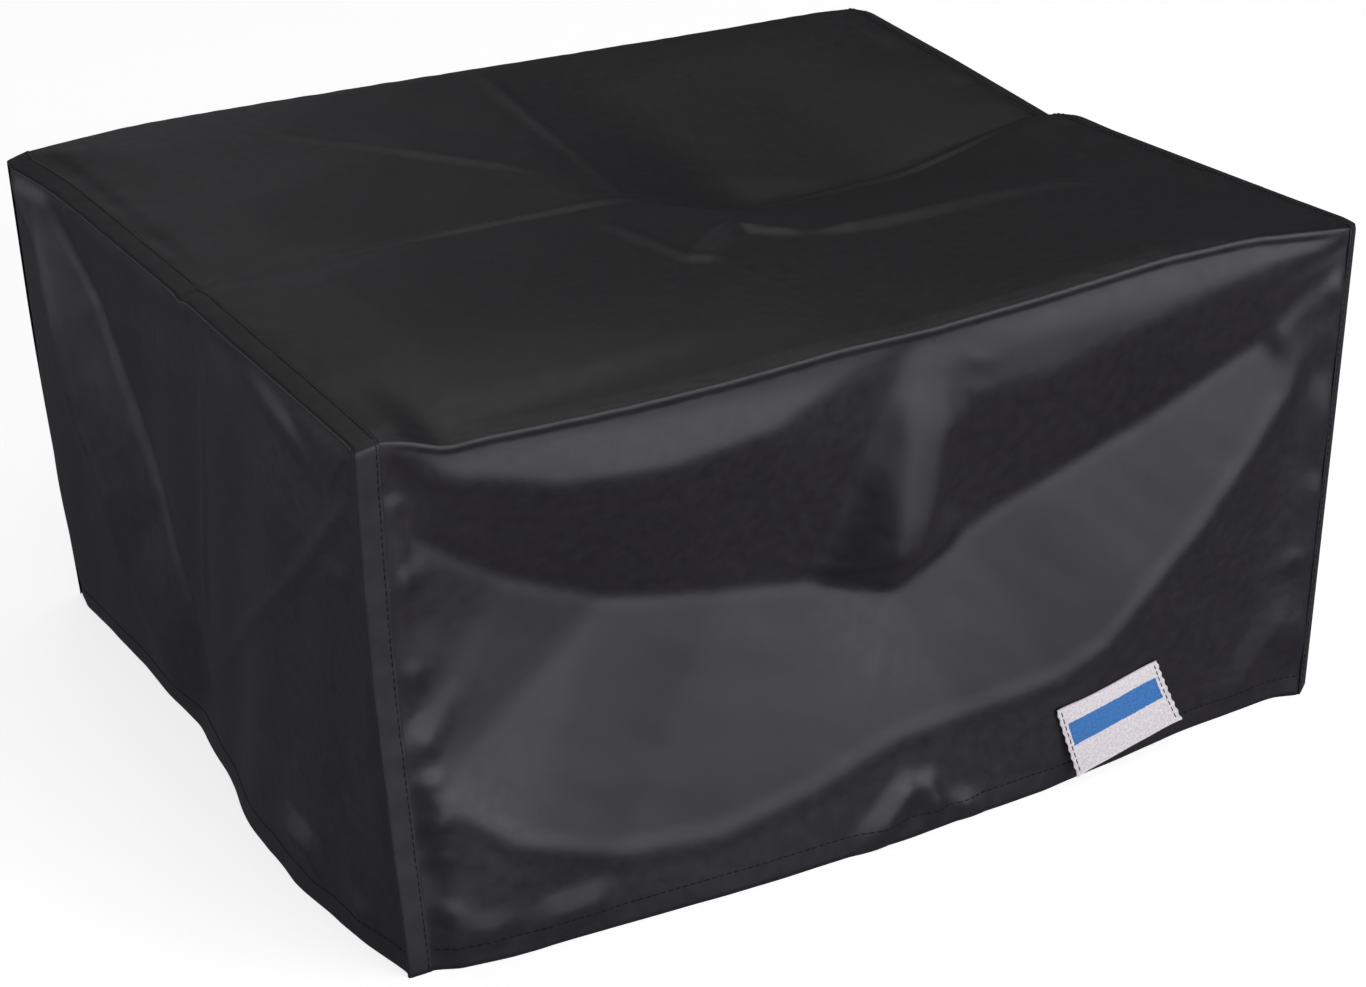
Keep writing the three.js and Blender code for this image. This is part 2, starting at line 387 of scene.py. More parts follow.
# How far the right half of the top sags: points of (Y, height), in millimetres.
RIGHT_HALF_SAG = [(-197, 0), (-80, -4), (-5, -18), (12, -22), (28, -20), (120, -9), (197, 0)]

# How far the front left corner draws back: points of (Z, distance), in millimetres.
FRONT_LEFT_BEND = [(0, -3), (60, 5), (120, 11), (180, 12), (224, 10)]

# The other turns and bulges of the corners, as slopes and as distances in millimetres.
ROLL_SLOPE = 0.8  # the front right strip is rolled round the corner
TOP_ROLL_SLOPE = 0.25  # and both top strips a little over the edge
BACK_TURN_SLOPE = 0.2  # the gusset turns in at the back left corner
BACK_TURN_WIDTH = 16
BACK_LEFT_PULL = 6  # and that corner is pulled out at its top
RIGHT_BULGE = 2.5  # how far the right side bulges at the top
RIGHT_HEM_BULGE = 3  # and how much more at the hem
EDGE_LEAN = 0.3  # share of the right edge's dip by which the edge leans inwards

FOLD_DROP = 0.6 * MM  # the top bends down towards the folds
LIP_BELOW = 0.8 * MM  # the pressed front fold stands out as a lip, and the wall is recessed under it
LIP_DROP = 1.4 * MM
LIP_DEPTH = 0.8 * MM
LIP_RECOVERY = 16 * MM
FOLD_WEAR = 0.1 * MM  # height of the small dents along the folds
SLACK = 0.25 * MM  # height of the slow waves in the wrap
GUSSET_SLACK = 0.8 * MM  # and in the gussets
FINE_SLACK = 0.05 * MM  # height of the small waves in both
TOP_SLACK = 0.3  # share of the slack and the gathers that the top shows
SLACK_SHIFT = 1.0  # the gussets use another part of the same waves, this far off, in metres


def bend_at(places, table, blur):
    """The table's height at each place, with its corners rounded over the blur."""
    ends, heights = zip(*table)
    shares = np.linspace(-1, 1, 7)
    return sum(np.interp(places + share * blur, ends, heights) for share in shares) / len(shares)


def edges_rise(x, y, below):
    """How far points rise with the upper edges, all in millimetres. below is the distance under the top."""
    at_right_edge = fade(x, start=120, end=225)
    on_right_half = fade(x, start=-35, end=60) * (1 - at_right_edge)
    from_front, from_back, from_left = y + HALF_DEPTH_MM, y - HALF_DEPTH_MM, x + HALF_WIDTH_MM
    rise = bend_at(x, FRONT_FOLD_BEND, blur=5) * bell(from_front, reach=50) * bell(below, reach=42)
    rise += bend_at(x, BACK_FOLD_BEND, blur=12) * bell(from_back, reach=60) * bell(below, reach=50)
    rise += bend_at(y, RIGHT_EDGE_BEND, blur=4) * at_right_edge * bell(below, reach=75)
    rise += bend_at(y, LEFT_EDGE_BEND, blur=3) * bell(from_left, reach=20) * bell(below, reach=20)
    rise += bend_at(y, RIGHT_HALF_SAG, blur=7) * on_right_half * bell(below, reach=30)
    return rise


def bend_edges(points):
    """Moves points of the straight cover with its bent edges and turned corners."""
    x, y, z = (points[..., k] / MM for k in range(3))
    below = HEIGHT_MM - z
    from_left, from_right = x + HALF_WIDTH_MM, x - HALF_WIDTH_MM
    from_front, from_back = y + HALF_DEPTH_MM, y - HALF_DEPTH_MM
    past_strip = np.maximum(np.abs(x) - HALF_WIDTH_MM + STRIP_WIDTH / MM, 0)
    rise = edges_rise(x, y, below) - TOP_ROLL_SLOPE * past_strip * bell(below, reach=40)
    # the front left corner draws back, and the front right one is rolled round
    at_front_left = bell(from_left, reach=85) * bell(from_front, reach=60)
    drawn_back = at_front_left * bend_at(z, FRONT_LEFT_BEND, blur=20)
    rolled = np.where(x > 0, ROLL_SLOPE, 0) * past_strip * bell(from_front, reach=30)
    # the right side leans in where its edge dips, and bulges as a whole
    inward = bend_at(y, RIGHT_EDGE_BEND, blur=10) * bell(from_right, reach=60) * bell(below, reach=45)
    bulge = (RIGHT_BULGE + RIGHT_HEM_BULGE * below / HEIGHT_MM) * fade(x, start=150, end=HALF_WIDTH_MM)
    # the back left corner is pulled out, and the gusset turns in beside it
    at_back_left = bell(from_left, reach=30) * bell(from_back, reach=40)
    pulled_out = BACK_LEFT_PULL * at_back_left * fade(z, start=-60, end=160)
    turned_in = BACK_TURN_SLOPE * np.maximum(from_back + BACK_TURN_WIDTH, 0) * bell(from_left, reach=40)
    bent = points.copy()
    bent[..., 0] += (EDGE_LEAN * inward - pulled_out + turned_in + bulge) * MM
    bent[..., 1] += (drawn_back + rolled) * MM
    bent[..., 2] += rise * MM
    return bent


class Puckers:
    """Short gathers that run away from a seam, as a row of narrow lobes. Along the seam they have places,
    widths and heights from a seeded draw. Away from it they grow, then die out."""

    def __init__(self, seed, length, spacing, tallest, reach):
        draw = random.Random(seed)
        self.lobes = []
        place = draw.uniform(0.3, 1.0) * spacing
        while place < length:
            width = draw.uniform(0.22, 0.42) * spacing
            height = draw.uniform(0.25, 1.0) * tallest * draw.choice((-1, 1, 1))
            far = draw.uniform(0.5, 1.2) * reach
            slant = draw.uniform(-0.5, 0.5)
            self.lobes.append((place, width, height, far, slant))
            place += draw.uniform(0.55, 1.5) * spacing

    def __call__(self, along, away):
        """The height at a place along the seam, and at a distance away from the strip's inner edge."""
        total = np.zeros(np.broadcast(along, away).shape)
        inward = np.maximum(away, 0)
        for place, width, height, far, slant in self.lobes:
            share = inward / far
            offset = (along - place - slant * inward) / (width * (1 + share))
            total += height * 3 * share * np.exp(1 - 3 * share) * np.exp(-0.5 * offset ** 2)
        return total


def ripples(seed, count, shortest, longest):
    """A sum of slow waves over a plane, from a seeded draw, with heights of about one."""
    draw = random.Random(seed)
    waves = []
    for _ in range(count):
        rate = 2 * math.pi / draw.uniform(shortest, longest)
        turn = draw.uniform(0, math.pi)
        start = draw.uniform(0, 2 * math.pi)
        waves.append((rate * math.cos(turn), rate * math.sin(turn), start))

    def height(across, up):
        total = sum(np.sin(a * across + b * up + start) for a, b, start in waves)
        return total / math.sqrt(count)

    return height


slack = ripples(seed=4, count=9, shortest=45 * MM, longest=130 * MM)
fold_wear = ripples(seed=14, count=10, shortest=7 * MM, longest=26 * MM)
fine_slack = ripples(seed=9, count=12, shortest=14 * MM, longest=30 * MM)

# Runs along the wrap, from the front hem over the top to the back hem.
WALL_RUN = HEIGHT - FOLD_RADIUS  # hem to the start of the fold
ARC_RUN = math.pi / 2 * FOLD_RADIUS
TOP_RUN = DEPTH - 2 * FOLD_RADIUS
TOP_START = WALL_RUN + ARC_RUN
TOP_END = TOP_START + TOP_RUN
FRONT_FOLD = WALL_RUN + ARC_RUN / 2  # the middle of each fold
BACK_FOLD = WALL_RUN + 1.5 * ARC_RUN + TOP_RUN
WRAP_LENGTH = 2 * WALL_RUN + 2 * ARC_RUN + TOP_RUN

wrap_puckers = {
    -1: Puckers(21, WRAP_LENGTH, spacing=19 * MM, tallest=2.2 * MM, reach=24 * MM),
    1: Puckers(35, WRAP_LENGTH, spacing=17 * MM, tallest=2.2 * MM, reach=18 * MM),
}
gusset_puckers = Puckers(51, WRAP_LENGTH, spacing=24 * MM, tallest=0.9 * MM, reach=18 * MM)
PUCKER_LIMIT = 60 * MM  # no gathers further from the seam than this
GUSSET_PUCKER_SHARE = 0.8  # the gussets' gathers, of the height they are drawn with
RIGHT_SWAG_SHARE = 0.6  # the right gusset's folds, of the left one's
RIGHT_SWAG_STRETCH = 0.95  # and how much they are stretched, so that the two sides differ


def wrap_line(run):
    """(y, z, outward y, outward z) of the wrap's middle line, at a run from the front hem."""
    flat_y = HALF_DEPTH - FOLD_RADIUS
    flat_z = HEIGHT - FOLD_RADIUS
    front_turn = (run - WALL_RUN) / FOLD_RADIUS
    back_turn = (run - TOP_END) / FOLD_RADIUS
    on_front_arc = np.clip(front_turn, 0, math.pi / 2)
    on_back_arc = np.clip(back_turn, 0, math.pi / 2)
    along_top = np.clip(run - TOP_START, 0, TOP_RUN)
    down_back = np.maximum(run - TOP_END - ARC_RUN, 0)
    turn = on_front_arc + on_back_arc
    out_y, out_z = -np.cos(turn), np.sin(turn)
    y = -flat_y + along_top
    z = flat_z - np.maximum(WALL_RUN - run, 0) - down_back
    return y + FOLD_RADIUS * out_y, z + FOLD_RADIUS * out_z, out_y, out_z


def wrap_surface(x, run, lift=0.0):
    """Points of the wrap's outside, x across and run from the front hem over the top to the back hem."""
    x, run = np.broadcast_arrays(np.asarray(x, float), np.asarray(run, float))
    y, z, out_y, out_z = wrap_line(run)
    on_front = run <= FRONT_FOLD
    on_back = run >= BACK_FOLD
    on_top = ~(on_front | on_back)
    out = np.zeros(x.shape)
    out[on_front] = front_swags(x[on_front], z[on_front])
    out[on_top] = top_swags(x[on_top], y[on_top])
    out[on_back] = back_swags(x[on_back], z[on_back])
    from_seam = HALF_WIDTH - np.abs(x)
    from_fold = np.minimum(np.abs(run - FRONT_FOLD), np.abs(run - BACK_FOLD))
    clear = fade(from_seam, start=STRIP_WIDTH, end=4 * STRIP_WIDTH) * fade(from_fold, start=0, end=40 * MM)
    looseness = np.where(on_top, TOP_SLACK, 1.0)
    out += clear * looseness * (slack(x, run) * SLACK + fine_slack(x, run) * FINE_SLACK)
    out *= fade(from_seam, start=0.9 * STRIP_WIDTH, end=2.2 * STRIP_WIDTH)
    out[on_front] += crease_lines(x[on_front], z[on_front], FRONT_CREASES)
    out[on_top] += crease_lines(x[on_top], y[on_top], TOP_CREASES)
    out[on_top] -= FOLD_DROP * (1 - fade(from_fold[on_top], start=0, end=FOLD_SIDE))
    out += fold_wear(x, run) * FOLD_WEAR * bell(from_fold, reach=6 * MM)
    under_lip = WALL_RUN - LIP_BELOW - run
    recess = np.clip(under_lip / LIP_DROP, 0, 1) * (1 - fade(under_lip, LIP_DROP, LIP_RECOVERY))
    out -= LIP_DEPTH * recess * fade(from_seam, start=1.2 * STRIP_WIDTH, end=3 * STRIP_WIDTH)
    for side, puckers in wrap_puckers.items():
        away = HALF_WIDTH - side * x - STRIP_WIDTH
        lobes = puckers(run, away) * fade(from_fold, start=0, end=12 * MM)
        out += np.where(away < PUCKER_LIMIT, lobes * looseness, 0)
    out += lift
    points = np.stack([x, y + out * out_y, z + out * out_z], axis=-1)
    return lean_in(bend_edges(points))


def gusset_top(y):
    """The height of a gusset's upper edge, which follows the wrap's folds at its ends."""
    into_fold = np.maximum(np.abs(y) - (HALF_DEPTH - FOLD_RADIUS), 0)
    return HEIGHT - FOLD_RADIUS + np.sqrt(np.maximum(FOLD_RADIUS ** 2 - into_fold ** 2, 0))


def gusset_surface(side, y, z, lift=0.0):
    """Points of a gusset's outside. side is -1 for the left one and 1 for the right one."""
    y, z = np.broadcast_arrays(np.asarray(y, float), np.asarray(z, float))
    if side < 0:
        out = left_swags(y, z) + crease_lines(y, z, LEFT_CREASES)
    else:
        out = RIGHT_SWAG_SHARE * left_swags(-y * RIGHT_SWAG_STRETCH, z)
    from_side, from_top = HALF_DEPTH - np.abs(y), HEIGHT - z
    from_edge = np.minimum(from_side, from_top)
    waves = slack(y + SLACK_SHIFT, z) * GUSSET_SLACK + fine_slack(y, z) * FINE_SLACK
    out += fade(from_edge, start=0, end=40 * MM) * waves
    along = np.where(from_side < from_top, z, HEIGHT + y)
    out += gusset_puckers(along, from_edge) * GUSSET_PUCKER_SHARE
    out *= fade(from_edge, start=0, end=9 * MM)
    out += lift
    points = np.stack([side * (HALF_WIDTH + out), y, z], axis=-1)
    return lean_in(bend_edges(points))


# ---- meshes

def add_object(name, data):
    added = bpy.data.objects.new(name, data)
    bpy.context.scene.collection.objects.link(added)
    return added


def mesh_object(name, points, faces, cloth_places=None):
    """A new object. cloth_places gives each point's place on the flat cloth, in metres."""
    mesh = bpy.data.meshes.new(name)
    mesh.from_pydata([tuple(p) for p in points], [], [tuple(f) for f in faces])
    mesh.update()
    if cloth_places is not None:
        layer = mesh.uv_layers.new(name="Cloth")
        corner_points = np.empty(len(mesh.loops), np.int32)
        mesh.loops.foreach_get("vertex_index", corner_points)
        layer.data.foreach_set("uv", np.asarray(cloth_places, np.float32)[corner_points].ravel())
    mesh.shade_smooth()
    return add_object(name, mesh)


def grid_faces(rows, columns, flip):
    """Four-sided faces between neighbouring points of a grid, turned over where flip is true."""
    i, j = np.meshgrid(np.arange(rows - 1), np.arange(columns - 1), indexing="ij")
    first = (i * columns + j).ravel()
    faces = np.stack([first, first + columns, first + columns + 1, first + 1], axis=1)
    return faces[:, ::-1] if flip else faces


def grid_object(name, points, places, flip):
    """A sheet through a grid of points. places gives each point's place on the flat cloth."""
    rows, columns = points.shape[:2]
    return mesh_object(name, points.reshape(-1, 3), grid_faces(rows, columns, flip), places.reshape(-1, 2))


def apply_modifiers(obj):
    """Replaces an object's mesh by what its modifiers make of it."""
    bpy.context.view_layer.update()
    evaluated = obj.evaluated_get(bpy.context.evaluated_depsgraph_get())
    solid = bpy.data.meshes.new_from_object(evaluated)
    solid.name = obj.name
    obj.modifiers.clear()
    obj.data = solid
    return obj


def thicken(obj, thickness):
    """Gives a sheet its thickness, inwards from its outside."""
    solid = obj.modifiers.new("thickness", "SOLIDIFY")
    solid.thickness = thickness
    solid.offset = -1
    solid.use_even_offset = True
    return apply_modifiers(obj)


def steps(low, high, spacing):
    """Evenly spaced places from low to high, both included, about the spacing apart."""
    return np.linspace(low, high, max(2, int(round((high - low) / spacing)) + 1))


def wrap_runs():
    """Places along the wrap, closer together on the folds and across the pressed crease."""
    arc_grid = ARC_RUN / 7
    top_middle = TOP_START + TOP_RUN / 2
    parts = []
    start = 0
    for end, spacing in (
        (WALL_RUN - FOLD_SIDE, GRID),
        (WALL_RUN, FOLD_GRID),
        (TOP_START, arc_grid),
        (TOP_START + FOLD_SIDE, FOLD_GRID),
        (top_middle - CREASE_IN_FRONT, GRID),
        (top_middle + CREASE_BEHIND, CREASE_GRID),
        (TOP_END, GRID),
        (TOP_END + ARC_RUN, arc_grid),
        (WRAP_LENGTH, BACK_GRID),
    ):
        parts.append(steps(start, end, spacing)[:-1])
        start = end
    return np.concatenate(parts + [[WRAP_LENGTH]])


# ---- materials

class Nodes:
    """A material's node tree. Its calls take and give sockets."""

    def __init__(self, name):
        self.material = bpy.data.materials.new(name)
        self.material.use_nodes = True
        self.tree = self.material.node_tree
        self.tree.nodes.clear()
        self.shader = self.add("ShaderNodeBsdfPrincipled", {})
        self.add("ShaderNodeOutputMaterial", {"Surface": self.shader.outputs["BSDF"]})

    def add(self, kind, inputs, **settings):
        """A new node. Its inputs are given as plain values or as other nodes' outputs."""
        node = self.tree.nodes.new(kind)
        for key, value in settings.items():
            setattr(node, key, value)
        self.fill(node, inputs)
        return node

    def fill(self, node, inputs):
        for name, value in inputs.items():
            if isinstance(value, bpy.types.NodeSocket):
                self.tree.links.new(value, node.inputs[name])
            else:
                node.inputs[name].default_value = value

    def cloth_place(self):
        return self.add("ShaderNodeUVMap", {}, uv_map="Cloth").outputs["UV"]

    def object_place(self):
        return self.add("ShaderNodeTexCoord", {}).outputs["Object"]

    def noise(self, place, scale, detail=3.0, roughness=0.5):
        inputs = {"Vector": place, "Scale": scale, "Detail": detail, "Roughness": roughness}
        return self.add("ShaderNodeTexNoise", inputs).outputs["Fac"]

    def math(self, operation, first, second=0.0):
        return self.add("ShaderNodeMath", {0: first, 1: second}, operation=operation).outputs["Value"]

    def between(self, value, low, high):
        """1 where the value is between low and high, otherwise 0."""
        above = self.math("GREATER_THAN", value, low)
        below = self.math("LESS_THAN", value, high)
        return self.math("MULTIPLY", above, below)

    def ramp(self, source, *stops):
        """A colour that changes between two stops, each a place and a colour."""
        node = self.add("ShaderNodeValToRGB", {"Fac": source})
        for element, (place, colour) in zip(node.color_ramp.elements, stops):
            element.position = place
            element.color = (*colour, 1)
        return node.outputs["Color"]

    def bump(self, height, strength, distance, **after):
        inputs = {"Height": height, "Strength": strength, "Distance": distance, **after}
        return self.add("ShaderNodeBump", inputs).outputs["Normal"]

    def plain_weave(self, place, threads_per_metre):
        """Height of a plain weave: two sets of threads that go over and under each other."""
        split = self.add("ShaderNodeSeparateXYZ", {"Vector": place})
        turn = math.pi * threads_per_metre
        warp = self.math("SINE", self.math("MULTIPLY", split.outputs["X"], turn))
        weft = self.math("SINE", self.math("MULTIPLY", split.outputs["Y"], turn))
        return self.math("MULTIPLY", warp, weft)


def coated_nylon(name, dark, light, roughness):
    """Coated nylon: close plain weave, a satin face, faint mottling and rubbed lighter patches."""
    nodes = Nodes(name)
    place = nodes.cloth_place()
    mottle = nodes.noise(place, scale=180, detail=5, roughness=0.65)
    patches = nodes.noise(place, scale=9)
    mottle_share = 0.55
    mixed = nodes.math("ADD", nodes.math("MULTIPLY", mottle, mottle_share),
                       nodes.math("MULTIPLY", patches, 1 - mottle_share))
    rough = nodes.add("ShaderNodeMapRange", {
        "Value": mottle,
        "From Min": 0.3,
        "From Max": 0.7,
        "To Min": roughness - 0.05,
        "To Max": roughness + 0.07,
    })
    woven = nodes.bump(nodes.plain_weave(place, threads_per_metre=2800), strength=0.2, distance=0.1 * MM)
    nodes.fill(nodes.shader, {
        "Base Color": nodes.ramp(mixed, (0.35, dark), (0.65, light)),
        "Roughness": rough.outputs["Result"],
        "Normal": nodes.bump(mottle, strength=0.1, distance=0.5 * MM, Normal=woven),
        "Specular IOR Level": 0.6,
        "Sheen Weight": 0.015,
        "Sheen Roughness": 0.4,
        "Sheen Tint": (0.85, 0.86, 1.0, 1),
    })
    return nodes.material


def sewing_thread():
    nodes = Nodes("black_thread")
    twist = nodes.noise(nodes.object_place(), scale=2500, detail=2)
    nodes.fill(nodes.shader, {
        "Base Color": nodes.ramp(twist, (0.3, (0.005, 0.005, 0.006)), (0.7, (0.014, 0.0135, 0.015))),
        "Roughness": 0.7,
        "Specular IOR Level": 0.15,
        "Sheen Weight": 0.05,
    })
    return nodes.material


BAND_LENGTH = 50 * MM
BAND_LOW, BAND_HIGH = -3 * MM, 8.5 * MM
BAND_WANDER = 0.9 * MM  # how far the band's edges wander


def label_weave():
    """A white woven label with one plain blue band, both placed on the label's own flat cloth."""
    nodes = Nodes("label_weave")
    place = nodes.cloth_place()
    split = nodes.add("ShaderNodeSeparateXYZ", {"Vector": place})
    ragged = nodes.noise(place, scale=1500, detail=1)
    wander = nodes.math("MULTIPLY", nodes.math("SUBTRACT", ragged, 0.5), BAND_WANDER)
    across = nodes.math("ADD", split.outputs["X"], wander)
    up = nodes.math("ADD", split.outputs["Y"], wander)
    in_band = nodes.math("MULTIPLY", nodes.between(across, -BAND_LENGTH / 2, BAND_LENGTH / 2),
                         nodes.between(up, BAND_LOW, BAND_HIGH))
    threads = nodes.noise(place, scale=900)
    white = nodes.ramp(threads, (0.3, (0.55, 0.51, 0.53)), (0.7, (0.80, 0.755, 0.78)))
    blue = nodes.ramp(threads, (0.3, (0.006, 0.10, 0.34)), (0.7, (0.02, 0.19, 0.52)))
    # a mix of colours has them at its inputs 6 and 7, and the result at its output 2
    mix = nodes.add("ShaderNodeMix", {"Factor": in_band, 6: white, 7: blue}, data_type="RGBA")
    weave = nodes.plain_weave(place, threads_per_metre=2600)
    nodes.fill(nodes.shader, {
        "Base Color": mix.outputs[2],
        "Normal": nodes.bump(weave, strength=0.6, distance=0.15 * MM),
        "Roughness": 0.75,
        "Sheen Weight": 0.2,
    })
    return nodes.material


# Each finish is a material and its slot.
PANEL = (coated_nylon("panel_coated_nylon", (0.0102, 0.0090, 0.0116), (0.0144, 0.0128, 0.0162), 0.43),
         "panel_nylon")
STRIP = (coated_nylon("strip_coated_nylon", (0.0105, 0.0098, 0.0122), (0.0150, 0.0141, 0.0172), 0.48),
         "strip_nylon")
THREAD = (sewing_thread(), "thread")
LABEL = (label_weave(), "woven_label")


def finish_piece(obj, finish, replaced, body=None):
    """Gives a piece its finish's material and hides the CAD nodes it replaces. It rides on a body, or else
    has its placement baked into its mesh."""
    material, slot = finish
    obj.data.materials.clear()
    obj.data.materials.append(material)
    if body is None:
        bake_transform(obj)
    else:
        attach(obj, body)
    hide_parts(*replaced)
    return obj


# ---- the wrap and the gussets

def build_wrap():
    across = steps(-HALF_WIDTH, HALF_WIDTH, GRID)
    run, x = np.meshgrid(wrap_runs(), across, indexing="ij")
    sheet = grid_object("wrap_sheet", wrap_surface(x, run), np.stack([x, run], axis=-1), flip=True)
    thicken(sheet, CLOTH)
    return finish_piece(sheet, PANEL, ["front_panel", "top_panel", "back_panel"])


def build_gusset(side, word):
    across = steps(-HALF_DEPTH, HALF_DEPTH, GRID)
    share, y = np.meshgrid(np.linspace(0, 1, int(HEIGHT / GRID) + 1), across, indexing="ij")
    z = share * gusset_top(y)
    sheet = grid_object(f"{word}_gusset_sheet", gusset_surface(side, y, z), np.stack([y, z], axis=-1),
                        flip=side > 0)
    thicken(sheet, CLOTH)
    return finish_piece(sheet, PANEL, [f"{word}_gusset"])


# ---- strips along the gusset seams

STRIP_RUNS = {"front": (0, FRONT_FOLD), "top": (FRONT_FOLD, BACK_FOLD), "back": (BACK_FOLD, WRAP_LENGTH)}
STRIP_BODIES = {"front": None, "top": CROWN, "back": None}
STRIP_PROFILE = [  # (distance in from the corner, height above the wrap), in millimetres
    (-0.9, -0.9), (-0.9, 0.0), (-0.5, 0.4), (0.5, 0.55), (2.5, 0.5), (4.5, 0.55), (6.5, 0.5), (8.5, 0.45),
    (9.3, 0.3), (9.6, 0.0), (9.6, -0.2),
]
FLAT_OF_STRIP = 0.4 * MM  # the profile above this height is the strip's face
STRIP_WAVE = 0.12 * MM  # the face's slight unevenness, a product of two waves
STRIP_WAVE_LENGTHS = (23 * MM, 61 * MM)


def build_strip(side, word, part):
    start, end = STRIP_RUNS[part]
    inward, height = np.array(STRIP_PROFILE).T * MM
    run, column = np.meshgrid(steps(start, end, GRID), np.arange(len(inward)), indexing="ij")
    x = side * (HALF_WIDTH - inward[column])
    waves = [np.sin(run * 2 * math.pi / length) for length in STRIP_WAVE_LENGTHS]
    worn = STRIP_WAVE * waves[0] * waves[1]
    lifted = height[column] + np.where(height[column] > FLAT_OF_STRIP, worn, 0)
    sheet = grid_object(f"{word}_{part}_strip_tape", wrap_surface(x, run, lifted),
                        np.stack([x, run], axis=-1), flip=side < 0)
    thicken(sheet, TAPE)
    finish_piece(sheet, STRIP, [f"{word}_{part}_strip"], STRIP_BODIES[part])
    return sheet, end - start


# ---- stitches

STITCH_LENGTH = 2.6 * MM
STITCH_PITCH = 3.3 * MM
STITCH_RADIUS = 0.225 * MM
STITCH_SIDES = 6
STITCH_RINGS = [  # (place along the stitch's length, share of the radius, rise in radii)
    (-0.5, 0.35, -0.5), (-0.38, 0.85, 0.0), (0.0, 1.0, 0.35), (0.38, 0.85, 0.0), (0.5, 0.35, -0.5),
]
THREAD_LIFT = 0.1 * MM  # the stitches' middles stand this far above the cloth
STRIP_LIFT = 0.45 * MM  # and the strips' stitches this much further, on the strip
STITCH_INSET = 1.6 * MM  # from the strip's inner edge to its stitches
STITCH_END_GAP = 1 * MM  # from the end of a seam to its first stitch


def stitch_shape():
    """One stitch as a short round-ended bar that dips at both ends: points of (along, across, up)."""
    points = []
    for along, thick, rise in STITCH_RINGS:
        for k in range(STITCH_SIDES):
            angle = 2 * math.pi * k / STITCH_SIDES
            points.append((along * STITCH_LENGTH,
                           thick * STITCH_RADIUS * math.cos(angle),
                           STITCH_RADIUS * (thick * math.sin(angle) + rise)))
    faces = []
    last_ring = (len(STITCH_RINGS) - 1) * STITCH_SIDES
    for ring in range(0, last_ring, STITCH_SIDES):
        for k in range(STITCH_SIDES):
            a, b = ring + k, ring + (k + 1) % STITCH_SIDES
            faces.append((a, b, b + STITCH_SIDES, a + STITCH_SIDES))
    faces.append(tuple(reversed(range(STITCH_SIDES))))
    faces.append(tuple(range(last_ring, last_ring + STITCH_SIDES)))
    return np.array(points), faces


def unit(vectors):
    return vectors / np.linalg.norm(vectors, axis=1)[:, None]


def build_stitches(name, line, outward, body=None):
    """A row of stitches, spaced along a line of points. outward has a direction for each point."""
    lengths = np.concatenate([[0], np.cumsum(np.linalg.norm(np.diff(line, axis=0), axis=1))])
    count = max(1, int(lengths[-1] / STITCH_PITCH))
    middles = (np.arange(count) + 0.5) * lengths[-1] / count

    def at(where, values):
        return np.stack([np.interp(where, lengths, values[:, k]) for k in range(3)], axis=1)

    half = STITCH_LENGTH / 2
    centre = at(middles, line)
    behind = at(np.maximum(middles - half, 0), line)
    ahead = at(np.minimum(middles + half, lengths[-1]), line)
    along = unit(ahead - behind)
    up = at(middles, outward)
    up = unit(up - (up * along).sum(axis=1)[:, None] * along)
    across = np.cross(up, along)
    shape, faces = stitch_shape()
    axes = np.stack([along, across, up], axis=1)
    points = centre[:, None] + shape @ axes
    all_faces = [tuple(i + n * len(shape) for i in f) for n in range(count) for f in faces]
    row = mesh_object(f"{name}_stitches", points.reshape(-1, 3), all_faces)
    finish_piece(row, THREAD, [f"{name}_thread"], body)


def surface_line(surface, *places):
    """A line just above a surface and its outward directions, from the surface at two heights."""
    low = surface(*places, THREAD_LIFT)
    high = surface(*places, THREAD_LIFT + 1 * MM)
    return low, unit(high - low)


def build_strip_stitches(side, word, part):
    start, end = STRIP_RUNS[part]
    run = steps(start + STITCH_END_GAP, end - STITCH_END_GAP, GRID)
    x = np.full(run.shape, side * (HALF_WIDTH - STRIP_WIDTH + STITCH_INSET))
    line, out = surface_line(lambda a, b, lift: wrap_surface(a, b, lift + STRIP_LIFT), x, run)
    build_stitches(f"{word}_{part}_strip", line, out, STRIP_BODIES[part])


def build_hem_stitches():
    reach = HALF_WIDTH - STRIP_WIDTH - STITCH_END_GAP
    x = steps(-reach, reach, GRID)
    for word, run in (("front", HEM_STITCH), ("back", WRAP_LENGTH - HEM_STITCH)):
        line, out = surface_line(wrap_surface, x, np.full(x.shape, run))
        build_stitches(f"{word}_hem", line, out, SKIRT)
    reach = HALF_DEPTH - 2 * STITCH_END_GAP
    y = steps(-reach, reach, GRID)
    for word, side in SIDES:
        line, out = surface_line(partial(gusset_surface, side), y, np.full(y.shape, HEM_STITCH))
        build_stitches(f"{word}_hem", line, out, SKIRT)


# ---- hems

HEM_LIFT = -0.75 * MM  # the turned-up layer lies inside the wall
HEM_START = 0.3 * MM  # and starts just above the bottom edge
HEM_GRID = 1.5 * MM
HEM_END_GAP = 0.5 * MM  # from a band's end to the wall's, on the wrap
GUSSET_HEM_END_GAP = 1.5 * MM  # and on the gussets


def build_hem_band(word, points, places, flip):
    sheet = grid_object(f"{word}_hem_band", points, places, flip)
    thicken(sheet, CLOTH)
    return finish_piece(sheet, PANEL, [f"{word}_hem"], SKIRT)


